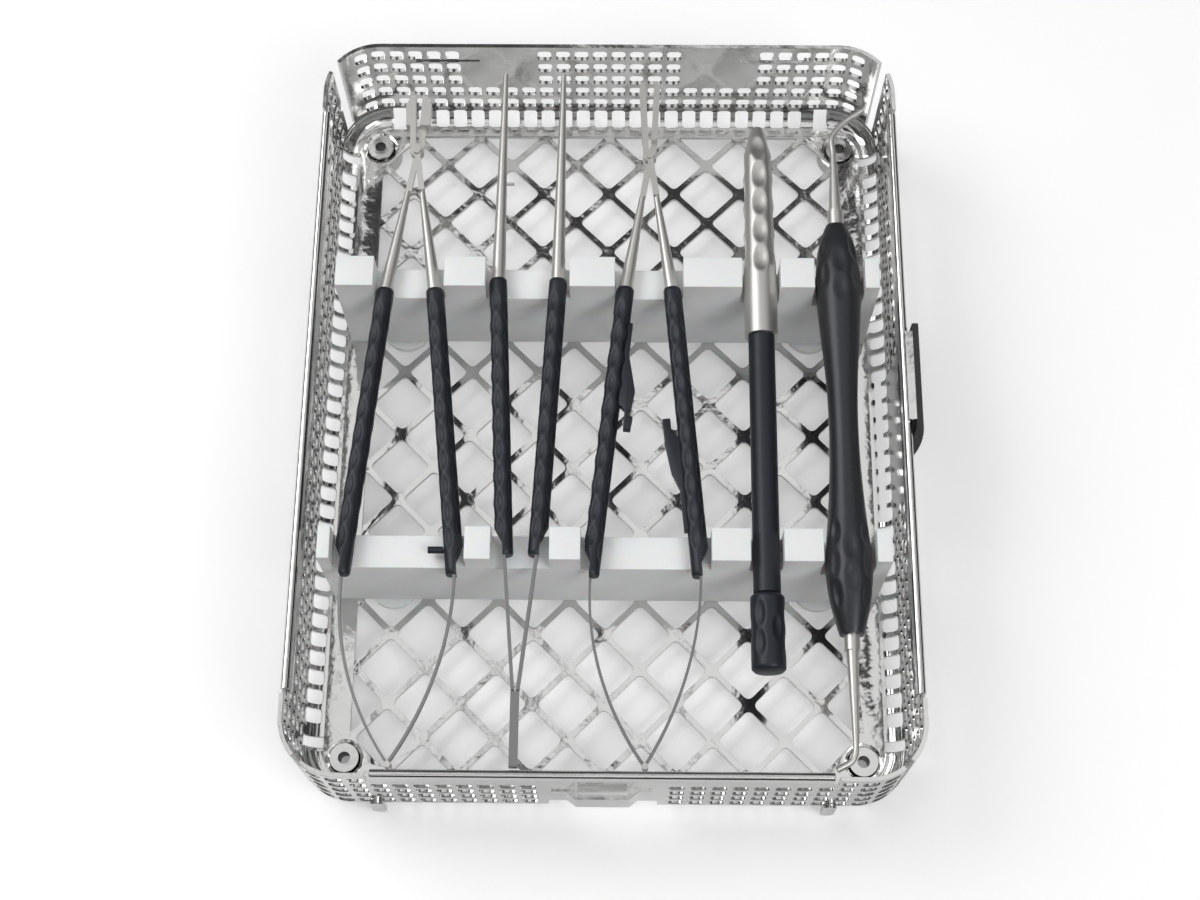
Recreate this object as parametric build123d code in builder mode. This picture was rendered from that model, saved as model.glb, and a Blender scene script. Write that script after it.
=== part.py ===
"""Instrument tray: a pressed mesh basket with two notched racks, a rim latch and five instruments.

Millimetres. Z = 0 is the plane the feet stand on, X runs across the tray and Y from front to rear.
"""
from math import atan2, cos, degrees, hypot, radians, sin, sqrt
import os

from build123d import *

os.makedirs("parts", exist_ok=True)

# Basket
tray_length = 180.0
tray_width = 138.0
wall_height = 32.0
sheet = 1.0
foot_height = 4.0
corner_radius = 17.0
bend_radius = 5.0
hem_height = 5.0
hem_thickness = 2.0
corner_slit = 0.6

# Floor lattice: square holes set on their corners, between bars of one width
lattice_pitch = 8.3
lattice_columns = 7
lattice_rows = 10
bar_width = 1.4

# Wall perforation
hole_width = 3.4
hole_height = 3.8
hole_row_pitch = 5.4
first_row = 6.7
end_wall_pitch = 4.55
side_wall_pitch = 4.5
end_wall_columns = 22
side_wall_columns = 32
rear_wall_rows = 5
hemmed_wall_rows = 4

# Hinge slots for a lid, in two plain patches of the rear wall
lid_slot_x = 40.0
lid_slot_z = 26.0
lid_slot_length = 16.0
lid_slot_height = 1.2
lid_patch_width = 18.0
lid_patch_bottom = 20.0

# Keeper in the middle of the front wall
keeper_width = 16.0
keeper_bottom = 12.0
keeper_top = 21.0
keeper_reach = 2.2
keeper_flange = 3.0
keeper_window_width = 24.0
keeper_window_top = 8.3
front_plain_width = 27.0

# Corner bands
end_wrap_angle = 60.0
side_wrap_angle = 25.0
band_slot_width = 3.0
band_slot_angles = (15.0, 31.0, 47.0)

# Rivets, feet and front lugs
rivet_x = 59.0
rivet_y = 79.4
rivet_radius = 2.1
rivet_bore = 1.4
rivet_head_radius = 3.3
rivet_head_height = 0.8
foot_radius = 5.0
foot_recess_radius = 3.5
foot_recess = 1.8
lug_x = 50.4
lug_width = 3.0
lug_foot = 2.2
lug_top = 12.4

# Racks
rack_length = 126.6
rack_height = 31.5
rack_depth = 7.6
rear_rack_row = 3
front_rack_row = -5
rack_row_offset = 3.7
notch_gap = 0.6
seat_gap = 0.3
plug_column = 6
plug_radius = 2.2
plug_depth = 9.0
plug_head_radius = 5.6
plug_head_height = 1.6
fit_gap = 0.05

# Latch on the right wall
latch_y = 2.4
latch_length = 25.5
latch_plain_length = 36.5
latch_plain_y = -2.7
latch_pin_radius = 0.8
latch_pin_z = 10.0
latch_plate = 0.6
latch_grip_thickness = 1.4
latch_grip_bulge = 0.9
latch_lip = 0.8
latch_ear = 1.6
body_gap = 0.3

# Instruments lie with their axes at one height above the floor sheet
instrument_axis = 27.0
grip_radius = 2.2
joint_thickness = 1.15
pivot_radius = 0.6
pivot_head_radius = 1.2
leg_start = 11.0
joint_bar_width = 1.4
jaw_half_angle = 2.6
spring_thickness = 0.6
spring_height = 1.5
tail_pin_radius = 0.7

# Needle holder, at the left
holder_pivot = (-46.2, 62.7)
holder_jaw_width = 2.4
holder_jaw_base = 6.8
holder_jaw_tip = 15.0
holder_left = ((-51.9, 25.7), (-58.3, -44.0))
holder_right = ((-40.4, 25.7), (-33.0, -44.0))
holder_left_bow = (-56.0, -65.0)
holder_right_bow = (-35.9, -65.0)
holder_tail = (-45.7, -86.4)
stop_peg_y = -38.2
stop_peg_radius = 0.8
stop_peg_length = 3.6

# Micro scissors, in the middle
scissors_pivot = (10.0, 61.6)
scissors_blade_width = 1.5
scissors_blade_base = 4.0
scissors_blade_tip = 20.4
scissors_left = ((4.4, 26.3), (-3.1, -44.0))
scissors_right = ((15.2, 26.3), (21.4, -44.0))
scissors_left_bow = (-0.9, -65.0)
scissors_right_bow = (18.4, -65.0)
scissors_tail = (9.1, -86.4)
left_catch_span = (17.0, -8.0)
right_catch_span = (-8.0, -34.0)
catch_height = 2.4
catch_rise = 3.2

# Forceps, between them
forceps_tip_left = (-25.3, 84.3)
forceps_tip_right = (-11.1, 84.3)
forceps_left = ((-25.5, 28.4), (-22.2, -39.4))
forceps_right = ((-11.5, 28.4), (-15.0, -39.4))
forceps_weld_left = (-19.55, -70.0)
forceps_weld_right = (-18.45, -70.0)
forceps_tail_end = -86.6
forceps_leaf = 0.7
forceps_leaf_height = 2.6
forceps_tip_radius = 0.6
guide_pin_y = 54.0
guide_pin_radius = 0.4
guide_pin_length = 3.0

# Blade handle, right of the scissors
blade_handle_x = 35.9
blade_head_end = 69.2
blade_head_shoulder = 61.0
blade_collar_start = 26.0
blade_rod_start = 14.2
blade_knob_start = -48.1
blade_knob_end = -65.4
blade_tip_radius = 1.45
blade_head_radius = 3.5
blade_collar_radius = 3.85
blade_rod_radius = 3.05
blade_knob_radius = 3.8
knob_spigot_radius = 1.5
knob_spigot_length = 8.0
knob_edge = 0.6

# Double-ended hook, at the right
hook_x = 54.1
hook_grip_radius = 5.25
hook_grip_rear = 42.9
hook_grip_front = -57.0
hook_outline = (
    (hook_grip_rear, 2.4),
    (31.0, 5.2),
    (22.0, 5.1),
    (4.0, 3.7),
    (-17.0, 3.5),
    (-34.0, 4.7),
    (-43.0, 5.25),
    (-50.0, 4.4),
    (hook_grip_front, 2.7),
)
hook_collar_rear = 46.9
hook_collar_front = -60.5
rear_collar_radius = 1.9
front_collar_radius = 1.75
hook_shank_rear = 62.0
hook_shank_front = -80.5
hook_wire_radius = 0.7
rear_hook_route = ((54.0, 67.0), (57.8, 72.0), (61.7, 74.8))
front_hook_route = ((53.2, -84.5), (49.9, -86.6))

# Levels and edges worked out from the sizes above
deck = foot_height + sheet
rim = deck + wall_height
wall_foot = foot_height + bend_radius
axis_z = deck + instrument_axis
straight_x = tray_width / 2 - corner_radius
straight_y = tray_length / 2 - corner_radius
rivet_places = [(sx * rivet_x, sy * rivet_y) for sx in (-1, 1) for sy in (-1, 1)]


def save(builder, label):
    """Label a finished piece and write it to its own file."""
    builder.part.label = label
    export_step(builder.part, f"parts/{label}.step")


def rod(start, end, start_radius, end_radius):
    """Add a round rod, straight or tapered, from one point to another."""
    base = Vector(*start)
    along = Vector(*end) - base
    lined_up = (Align.CENTER, Align.CENTER, Align.MIN)
    with Locations(Plane(origin=base, z_dir=along)):
        if start_radius == end_radius:
            Cylinder(start_radius, along.length, align=lined_up)
        else:
            Cone(start_radius, end_radius, along.length, align=lined_up)


def at_axis(point):
    """Lift a plan point to the height of the instruments' axes."""
    return (point[0], point[1], axis_z)


def part_way(line, y):
    """X of a straight plan line, given by its two ends, at one Y."""
    (x0, y0), (x1, y1) = line
    return x0 + (x1 - x0) * (y - y0) / (y1 - y0)


# Floor sheet with its lattice
cell_side = lattice_pitch * sqrt(2) - bar_width
lattice_half_x = lattice_columns * lattice_pitch
lattice_half_y = lattice_rows * lattice_pitch
cells = [
    (i * lattice_pitch, j * lattice_pitch)
    for i in range(-lattice_columns, lattice_columns + 1)
    for j in range(-lattice_rows, lattice_rows + 1)
    if (i + j + lattice_columns + lattice_rows) % 2 == 0
    and not (abs(i) == lattice_columns and abs(j) == lattice_rows)
]

with BuildSketch() as lattice:
    with Locations(*cells):
        Rectangle(cell_side, cell_side, rotation=45)
    Rectangle(2 * lattice_half_x, 2 * lattice_half_y, mode=Mode.INTERSECT)

with BuildPart() as floor_grid:
    with BuildSketch(Plane.XY.offset(foot_height)):
        Rectangle(2 * straight_x, tray_length - 2 * bend_radius)
        Rectangle(tray_width - 2 * bend_radius, 2 * straight_y)
        for quarter in range(4):
            turn = 90 * quarter
            centre = (
                straight_x * (1 if quarter in (0, 3) else -1),
                straight_y * (1 if quarter in (0, 1) else -1),
            )
            with BuildLine():
                edge = CenterArc(centre, corner_radius - sheet - corner_slit, turn, 90)
                Line(centre, edge @ 0)
                Line(centre, edge @ 1)
            make_face()
        add(lattice.sketch, mode=Mode.SUBTRACT)
        with Locations(*rivet_places):
            Circle(rivet_radius + fit_gap, mode=Mode.SUBTRACT)
    extrude(amount=sheet)
save(floor_grid, "floor_grid")

# Pressed bends between the floor and the four walls
with BuildPart() as floor_bends:
    for outward, reach, half_length in (
        ((1, 0, 0), tray_width / 2, straight_y),
        ((-1, 0, 0), tray_width / 2, straight_y),
        ((0, 1, 0), tray_length / 2, straight_x),
        ((0, -1, 0), tray_length / 2, straight_x),
    ):
        out = Vector(*outward)
        across = out.cross(Vector(0, 0, 1))
        centre = out * (reach - bend_radius) + Vector(0, 0, wall_foot)
        with BuildSketch(Plane(origin=centre, x_dir=out, z_dir=across)):
            with BuildLine():
                outer = CenterArc((0, 0), bend_radius, -90, 90)
                inner = CenterArc((0, 0), bend_radius - sheet, -90, 90)
                Line(outer @ 0, inner @ 0)
                Line(outer @ 1, inner @ 1)
            make_face()
        extrude(amount=half_length, both=True)
save(floor_bends, "floor_bends")


def hole_places(columns, pitch, rows, plain_zones):
    """Centres of a wall's holes, above the deck, left out where the sheet stays plain."""
    places = []
    for column in range(columns):
        x = (column - (columns - 1) / 2) * pitch
        for row in range(rows):
            z = first_row + row * hole_row_pitch
            inside = [lo < x < hi and bottom < z for lo, hi, bottom in plain_zones]
            if not any(inside):
                places.append((x, deck + z))
    return places


def wall_plane(outward, reach):
    """Plane on a wall's outer face: its normal points inward and its Y axis points up."""
    out = Vector(*outward)
    return Plane(origin=out * reach, x_dir=out.cross(Vector(0, 0, 1)), z_dir=-out)


# The four straight walls. A wall's own X runs to the left as it is seen from inside the tray.
rear_patches = [
    (side * lid_slot_x - lid_patch_width / 2, side * lid_slot_x + lid_patch_width / 2, lid_patch_bottom)
    for side in (-1, 1)
]
hem_foot = rim - hem_height
end_length = 2 * straight_x
side_length = 2 * straight_y

with BuildPart() as rear_wall:
    with BuildSketch(wall_plane((0, 1, 0), tray_length / 2)):
        with Locations((0, (wall_foot + rim) / 2)):
            Rectangle(end_length, rim - wall_foot)
        with Locations(*hole_places(end_wall_columns, end_wall_pitch, rear_wall_rows, rear_patches)):
            Rectangle(hole_width, hole_height, mode=Mode.SUBTRACT)
        with Locations((-lid_slot_x, deck + lid_slot_z), (lid_slot_x, deck + lid_slot_z)):
            Rectangle(lid_slot_length, lid_slot_height, mode=Mode.SUBTRACT)
    extrude(amount=sheet)
save(rear_wall, "rear_wall")

with BuildPart() as front_wall:
    front_zone = [(-front_plain_width / 2, front_plain_width / 2, 0)]
    with BuildSketch(wall_plane((0, -1, 0), tray_length / 2)):
        with Locations((0, (wall_foot + hem_foot) / 2)):
            Rectangle(end_length, hem_foot - wall_foot)
        with Locations(*hole_places(end_wall_columns, end_wall_pitch, hemmed_wall_rows, front_zone)):
            Rectangle(hole_width, hole_height, mode=Mode.SUBTRACT)
        window_top = deck + keeper_window_top
        with Locations((0, (wall_foot + window_top) / 2)):
            Rectangle(keeper_window_width, window_top - wall_foot, mode=Mode.SUBTRACT)
    extrude(amount=sheet)
save(front_wall, "front_wall")

with BuildPart() as left_wall:
    with BuildSketch(wall_plane((-1, 0, 0), tray_width / 2)):
        with Locations((0, (wall_foot + hem_foot) / 2)):
            Rectangle(side_length, hem_foot - wall_foot)
        with Locations(*hole_places(side_wall_columns, side_wall_pitch, hemmed_wall_rows, [])):
            Rectangle(hole_width, hole_height, mode=Mode.SUBTRACT)
    extrude(amount=sheet)
save(left_wall, "left_wall")

with BuildPart() as right_wall:
    latch_zone = [
        (
            -latch_plain_y - latch_plain_length / 2,
            -latch_plain_y + latch_plain_length / 2,
            0,
        )
    ]
    with BuildSketch(wall_plane((1, 0, 0), tray_width / 2)):
        with Locations((0, (wall_foot + hem_foot) / 2)):
            Rectangle(side_length, hem_foot - wall_foot)
        with Locations(*hole_places(side_wall_columns, side_wall_pitch, hemmed_wall_rows, latch_zone)):
            Rectangle(hole_width, hole_height, mode=Mode.SUBTRACT)
    extrude(amount=sheet)
save(right_wall, "right_wall")

# Folded hems on the front and side walls
with BuildPart() as rim_hems:
    for outward, reach, length in (
        ((0, -1, 0), tray_length / 2, end_length),
        ((-1, 0, 0), tray_width / 2, side_length),
        ((1, 0, 0), tray_width / 2, side_length),
    ):
        with BuildSketch(wall_plane(outward, reach)):
            with Locations((0, rim - hem_height / 2)):
                Rectangle(length, hem_height)
        extrude(amount=hem_thickness)
    top_edges = rim_hems.edges().group_by(Axis.Z)[-1]
    long_edges = top_edges.filter_by(lambda edge: edge.length > end_length / 2)
    fillet(long_edges, hem_thickness * 0.42)
save(rim_hems, "rim_hems")

# Corner bands: each end wall wraps far round the corner, each side wall a little way
band_height = rim - deck - corner_slit
for side_name, sx in (("left", -1), ("right", 1)):
    for end_name, sy in (("front", -1), ("rear", 1)):
        handed = sx * sy
        base = Plane(
            origin=(sx * straight_x, sy * straight_y, deck + corner_slit),
            x_dir=(sx, 0, 0),
            z_dir=(0, 0, handed),
        )
        with BuildPart() as corner:
            with BuildSketch(base):
                for start, sweep_angle in ((90 - end_wrap_angle, end_wrap_angle), (0, side_wrap_angle)):
                    with BuildLine():
                        outer = CenterArc((0, 0), corner_radius, start, sweep_angle)
                        inner = CenterArc((0, 0), corner_radius - sheet, start, sweep_angle)
                        Line(outer @ 0, inner @ 0)
                        Line(outer @ 1, inner @ 1)
                    make_face()
            extrude(amount=handed * band_height)
            slot_foot = deck + first_row - hole_height / 2
            slot_height = rim - hem_height - slot_foot
            for angle in band_slot_angles:
                heading = radians(90 - angle)
                middle = (
                    sx * (straight_x + corner_radius * cos(heading)),
                    sy * (straight_y + corner_radius * sin(heading)),
                    slot_foot + slot_height / 2,
                )
                turn = degrees(atan2(sy * sin(heading), sx * cos(heading)))
                with Locations(Location(middle, (0, 0, turn))):
                    Box(4 * sheet, band_slot_width, slot_height, mode=Mode.SUBTRACT)
        save(corner, f"{end_name}_{side_name}_corner")

# Keeper strap that stands out of the front wall
with BuildPart() as front_keeper:
    with BuildSketch(Plane.XY.offset(deck + keeper_bottom)):
        face_y = -tray_length / 2
        half = keeper_width / 2
        slope = keeper_reach
        with BuildLine():
            Polyline(
                (-half - keeper_flange, face_y),
                (-half + slope - sheet / 2, face_y),
                (-half + slope + sheet / 2, face_y - keeper_reach + sheet),
                (half - slope - sheet / 2, face_y - keeper_reach + sheet),
                (half - slope + sheet / 2, face_y),
                (half + keeper_flange, face_y),
                (half + keeper_flange, face_y - sheet / 2),
                (half, face_y - sheet / 2),
                (half - slope, face_y - keeper_reach),
                (-half + slope, face_y - keeper_reach),
                (-half, face_y - sheet / 2),
                (-half - keeper_flange, face_y - sheet / 2),
                close=True,
            )
        make_face()
    extrude(amount=keeper_top - keeper_bottom)
save(front_keeper, "front_keeper")

# Small lugs under the ends of the front wall
with BuildPart() as front_lugs:
    with BuildSketch(Plane.XZ.offset(tray_length / 2)):
        with Locations((-lug_x, (lug_foot + lug_top) / 2), (lug_x, (lug_foot + lug_top) / 2)):
            SlotOverall(lug_top - lug_foot, lug_width, rotation=90)
    extrude(amount=sheet)
save(front_lugs, "front_lugs")

# Tubular rivets and the feet that they hold
with BuildPart() as feet:
    with Locations(*[(x, y, 0) for x, y in rivet_places]):
        Cylinder(foot_radius, foot_height, align=(Align.CENTER, Align.CENTER, Align.MIN))
        Cylinder(
            rivet_radius + fit_gap,
            foot_height,
            align=(Align.CENTER, Align.CENTER, Align.MIN),
            mode=Mode.SUBTRACT,
        )
        Cylinder(
            foot_recess_radius,
            foot_recess,
            align=(Align.CENTER, Align.CENTER, Align.MIN),
            mode=Mode.SUBTRACT,
        )
save(feet, "feet")

with BuildPart() as rivets:
    flare = foot_recess - rivet_head_height
    with Locations(*[(x, y, 0) for x, y in rivet_places]):
        with Locations((0, 0, flare)):
            Cylinder(rivet_radius, deck - flare, align=(Align.CENTER, Align.CENTER, Align.MIN))
            Cylinder(rivet_head_radius, rivet_head_height, align=(Align.CENTER, Align.CENTER, Align.MIN))
        with Locations((0, 0, deck)):
            Cylinder(rivet_head_radius, rivet_head_height, align=(Align.CENTER, Align.CENTER, Align.MIN))
        Cylinder(
            rivet_bore,
            3 * deck,
            align=(Align.CENTER, Align.CENTER, Align.CENTER),
            mode=Mode.SUBTRACT,
        )
save(rivets, "rivets")


def rack_notches(y, blade_radius):
    """The notches of one rack: lowest and highest X, and the radius of what lies in each."""
    pairs = ((holder_left, holder_right), (forceps_left, forceps_right), (scissors_left, scissors_right))
    notches = [
        (part_way(left, y) - grip_radius, part_way(right, y) + grip_radius, grip_radius)
        for left, right in pairs
    ]
    notches.append((blade_handle_x - blade_radius, blade_handle_x + blade_radius, blade_radius))
    notches.append((hook_x - hook_grip_radius, hook_x + hook_grip_radius, hook_grip_radius))
    return notches


# Racks: one moulded comb each, its notches cut to the instruments, its plugs pushed up from below
for name, row, blade_radius in (
    ("rear", rear_rack_row, blade_collar_radius),
    ("front", front_rack_row, blade_rod_radius),
):
    rack_y = row * lattice_pitch + rack_row_offset
    plug_places = [(side * plug_column * lattice_pitch, rack_y) for side in (-1, 1)]
    with BuildPart() as rack:
        with BuildSketch(Plane.XZ.offset(-rack_y)):
            with Locations((0, deck + rack_height / 2)):
                Rectangle(rack_length, rack_height)
            for low, high, radius in rack_notches(rack_y, blade_radius):
                notch_floor = axis_z - radius - seat_gap
                with Locations(((low + high) / 2, (notch_floor + deck + rack_height) / 2)):
                    Rectangle(
                        high - low + 2 * notch_gap,
                        deck + rack_height - notch_floor,
                        mode=Mode.SUBTRACT,
                    )
        extrude(amount=rack_depth / 2, both=True)
        with Locations(*[(x, y, deck) for x, y in plug_places]):
            Cylinder(
                plug_radius + fit_gap,
                plug_depth + fit_gap,
                align=(Align.CENTER, Align.CENTER, Align.MIN),
                mode=Mode.SUBTRACT,
            )
    save(rack, f"{name}_rack")

    with BuildPart() as plugs:
        with Locations(*[(x, y, foot_height - plug_head_height) for x, y in plug_places]):
            Cylinder(plug_head_radius, plug_head_height, align=(Align.CENTER, Align.CENTER, Align.MIN))
            Cylinder(
                plug_radius,
                plug_head_height + sheet + plug_depth,
                align=(Align.CENTER, Align.CENTER, Align.MIN),
            )
    save(plugs, f"{name}_rack_plugs")

# Latch: two ears on the wall, hinge pin, lever plate with a lip over the rim, and its black grip
wall_face = tray_width / 2
knuckle_radius = latch_pin_radius + latch_plate
pin_x = wall_face + body_gap + knuckle_radius
pin_z = deck + latch_pin_z
ear_radius = pin_x - wall_face
ear_y = latch_length / 2 - latch_ear / 2
with BuildPart() as latch_ears:
    for side in (-1, 1):
        with BuildSketch(Plane.XZ.offset(-latch_y - side * ear_y)):
            with Locations((pin_x, pin_z)):
                Circle(ear_radius)
            with Locations(((wall_face + pin_x) / 2, pin_z)):
                Rectangle(pin_x - wall_face, 2 * ear_radius)
            with Locations((pin_x, pin_z)):
                Circle(latch_pin_radius, mode=Mode.SUBTRACT)
        extrude(amount=latch_ear / 2, both=True)
save(latch_ears, "latch_ears")

with BuildPart() as latch_pin:
    with BuildSketch(Plane.XZ.offset(-latch_y)):
        with Locations((pin_x, pin_z)):
            Circle(latch_pin_radius)
    extrude(amount=latch_length / 2, both=True)
save(latch_pin, "latch_pin")

lever_half = latch_length / 2 - latch_ear - body_gap
lever_inner = wall_face + body_gap
lever_outer = lever_inner + latch_plate
lever_top = rim + body_gap + latch_plate
lip_end = wall_face - latch_lip
with BuildPart() as latch_lever:
    with BuildSketch(Plane.XZ.offset(-latch_y)):
        with Locations((pin_x, pin_z)):
            Circle(knuckle_radius)
        with Locations(((lever_inner + lever_outer) / 2, (pin_z + lever_top) / 2)):
            Rectangle(latch_plate, lever_top - pin_z)
        with Locations(((lip_end + lever_outer) / 2, lever_top - latch_plate / 2)):
            Rectangle(lever_outer - lip_end, latch_plate)
        with Locations((pin_x, pin_z)):
            Circle(latch_pin_radius + fit_gap, mode=Mode.SUBTRACT)
    extrude(amount=lever_half, both=True)
save(latch_lever, "latch_lever")

with BuildPart() as latch_grip:
    grip_foot = pin_z + ear_radius + body_gap
    grip_outer = lever_outer + latch_grip_thickness
    with BuildSketch(Plane.XZ.offset(-latch_y)):
        with BuildLine():
            foot_edge = Line((lever_outer, grip_foot), (lever_outer, lever_top))
            top_edge = Line(foot_edge @ 1, (grip_outer, lever_top))
            bulge = (grip_outer + latch_grip_bulge, (grip_foot + lever_top) / 2)
            face_edge = ThreePointArc(top_edge @ 1, bulge, (grip_outer, grip_foot))
            Line(face_edge @ 1, foot_edge @ 0)
        make_face()
    extrude(amount=latch_length / 2, both=True)
save(latch_grip, "latch_grip")


def toward(start, end, distance):
    """Plan point at a distance from the start on the way to the end."""
    dx = end[0] - start[0]
    dy = end[1] - start[1]
    share = distance / hypot(dx, dy)
    return (start[0] + dx * share, start[1] + dy * share)


def crossed_arm(pivot, line, side, jaw_width, jaw_base, jaw_tip):
    """Steel arm of a crossed instrument: jaw, half of the lap joint, and the leg down to its grip.

    The arm with its grip at the left (side -1) lies below at the joint and has its jaw at the right.
    """
    grip_start = line[0]
    jaw_side = -side
    leg_top = toward(pivot, grip_start, leg_start)
    leg_turn = degrees(atan2(pivot[1] - grip_start[1], pivot[0] - grip_start[0])) - 90
    joint_z = axis_z + side * (seat_gap + joint_thickness) / 2
    jaw_turn = side * jaw_half_angle
    with BuildPart() as arm:
        with Locations((*pivot, joint_z)):
            Cylinder(1.15 * joint_bar_width, joint_thickness)
        with Locations(Location((*pivot, joint_z), (0, 0, leg_turn))):
            with Locations((0, -leg_start / 2, 0)):
                Box(joint_bar_width, leg_start, joint_thickness)
        rod(at_axis(leg_top), at_axis(grip_start), joint_bar_width / 2, 0.75 * grip_radius)
        jaw_foot = axis_z - joint_thickness - seat_gap / 2
        with BuildSketch(Plane(Location((*pivot, jaw_foot), (0, 0, jaw_turn)))):
            inner = jaw_side * seat_gap / 2
            outer = jaw_side * (jaw_width + seat_gap / 2)
            nose = jaw_side * (0.45 * jaw_width + seat_gap / 2)
            with BuildLine():
                Polyline(
                    (inner, jaw_base),
                    (inner, jaw_tip),
                    (nose, jaw_tip),
                    (outer, jaw_tip - jaw_width),
                    (outer, jaw_base),
                    close=True,
                )
            make_face()
        extrude(amount=2 * joint_thickness + seat_gap)
        with Locations(Location((*pivot, joint_z), (0, 0, jaw_turn))):
            with Locations((jaw_side * (seat_gap + joint_bar_width) / 2, jaw_base / 2, 0)):
                Box(joint_bar_width, jaw_base + joint_bar_width, joint_thickness)
        with Locations((*pivot, joint_z)):
            Cylinder(pivot_radius + fit_gap, 2 * joint_thickness, mode=Mode.SUBTRACT)
        add(grip(line).part, mode=Mode.SUBTRACT)
    return arm


def grip(line):
    """Round grip along a plan line."""
    with BuildPart() as sleeve:
        rod(at_axis(line[0]), at_axis(line[1]), grip_radius, grip_radius)
    return sleeve


def pivot_screw(pivot):
    """Screw through a lap joint, with a head above and a riveted end below."""
    half_stack = joint_thickness + seat_gap / 2 + 2 * fit_gap
    with BuildPart() as screw:
        with Locations(at_axis(pivot)):
            Cylinder(pivot_radius, 2 * half_stack)
        for side in (-1, 1):
            with Locations((*pivot, axis_z + side * (half_stack + joint_thickness / 4))):
                Cylinder(pivot_head_radius, joint_thickness / 2)
    return screw


def leaf_spring(root, bow, tail, side):
    """Bowed leaf spring from a grip's end to the tail pin: the left one lies below the right one."""
    foot = axis_z - seat_gap / 2 - spring_height if side < 0 else axis_z + seat_gap / 2
    start = toward(root, bow, seat_gap)
    end = toward(tail, bow, tail_pin_radius + fit_gap)
    with BuildPart() as spring:
        with BuildSketch(Plane.XY.offset(foot)):
            with BuildLine():
                ThreePointArc(start, bow, end)
            trace(line_width=spring_thickness)
        extrude(amount=spring_height)
    return spring


def tail_pin(tail):
    """Upright pin that both springs of an instrument hook round at the tail."""
    with BuildPart() as pin:
        with Locations(at_axis(tail)):
            Cylinder(tail_pin_radius, 2 * spring_height + seat_gap)
    return pin


# Needle holder
for side_name, line, bow, side in (
    ("left", holder_left, holder_left_bow, -1),
    ("right", holder_right, holder_right_bow, 1),
):
    jaw = (holder_jaw_width, holder_jaw_base, holder_jaw_tip)
    save(crossed_arm(holder_pivot, line, side, *jaw), f"holder_{side_name}_arm")
    save(grip(line), f"holder_{side_name}_grip")
    save(leaf_spring(line[1], bow, holder_tail, side), f"holder_{side_name}_spring")
save(pivot_screw(holder_pivot), "holder_pivot_screw")
save(tail_pin(holder_tail), "holder_tail_pin")

with BuildPart() as holder_stop_peg:
    peg_x = part_way(holder_right, stop_peg_y) - 0.9 * grip_radius
    rod(
        (peg_x, stop_peg_y, axis_z),
        (peg_x - stop_peg_length, stop_peg_y, axis_z),
        stop_peg_radius,
        stop_peg_radius,
    )
    add(grip(holder_right).part, mode=Mode.SUBTRACT)
save(holder_stop_peg, "holder_stop_peg")

# Micro scissors, with a catch leaf on the inner side of each grip
for side_name, line, bow, side in (
    ("left", scissors_left, scissors_left_bow, -1),
    ("right", scissors_right, scissors_right_bow, 1),
):
    blade = (scissors_blade_width, scissors_blade_base, scissors_blade_tip)
    save(crossed_arm(scissors_pivot, line, side, *blade), f"scissors_{side_name}_arm")
    save(grip(line), f"scissors_{side_name}_grip")
    save(leaf_spring(line[1], bow, scissors_tail, side), f"scissors_{side_name}_spring")
save(pivot_screw(scissors_pivot), "scissors_pivot_screw")
save(tail_pin(scissors_tail), "scissors_tail_pin")

for side_name, line, side, catch_rear, catch_front in (
    ("left", scissors_left, -1, *left_catch_span),
    ("right", scissors_right, 1, *right_catch_span),
):
    with BuildPart() as catch:
        with BuildSketch(Plane.XY.offset(axis_z - catch_height / 2)):
            with BuildLine():
                rear = (part_way(line, catch_rear) - side * 0.8 * grip_radius, catch_rear)
                front = (part_way(line, catch_front) - side * 0.8 * grip_radius, catch_front)
                crown = (
                    (rear[0] + front[0]) / 2 - side * catch_rise,
                    (rear[1] + front[1]) / 2,
                )
                ThreePointArc(rear, crown, front)
                Line(front, rear)
            make_face()
        extrude(amount=catch_height)
        add(grip(line).part, mode=Mode.SUBTRACT)
    save(catch, f"scissors_{side_name}_catch")

# Forceps: two sprung arms in round grips, welded together at the tail
for side_name, tip, line, weld in (
    ("left", forceps_tip_left, forceps_left, forceps_weld_left),
    ("right", forceps_tip_right, forceps_right, forceps_weld_right),
):
    with BuildPart() as arm:
        rod(at_axis(tip), at_axis(line[0]), forceps_tip_radius, 0.75 * grip_radius)
        add(grip(line).part, mode=Mode.SUBTRACT)
        if side_name == "left":
            pin_start = part_way((tip, line[0]), guide_pin_y)
            rod(
                (pin_start, guide_pin_y, axis_z),
                (pin_start + guide_pin_length, guide_pin_y, axis_z),
                guide_pin_radius,
                guide_pin_radius,
            )
    with BuildPart() as leg:
        with BuildSketch(Plane.XY.offset(axis_z - forceps_leaf_height / 2)):
            with BuildLine():
                Line(line[1], weld)
            trace(line_width=forceps_leaf)
        extrude(amount=forceps_leaf_height)
        add(grip(line).part, mode=Mode.SUBTRACT)
    save(arm, f"forceps_{side_name}_arm")
    save(grip(line), f"forceps_{side_name}_grip")
    save(leg, f"forceps_{side_name}_leg")

with BuildPart() as forceps_tail:
    weld_y = forceps_weld_left[1] - seat_gap
    tail_x = (forceps_weld_left[0] + forceps_weld_right[0]) / 2
    tail_width = forceps_weld_right[0] - forceps_weld_left[0] + forceps_leaf
    with Locations((tail_x, (weld_y + forceps_tail_end) / 2, axis_z)):
        Box(tail_width, weld_y - forceps_tail_end, forceps_leaf_height)
save(forceps_tail, "forceps_tail")


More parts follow.
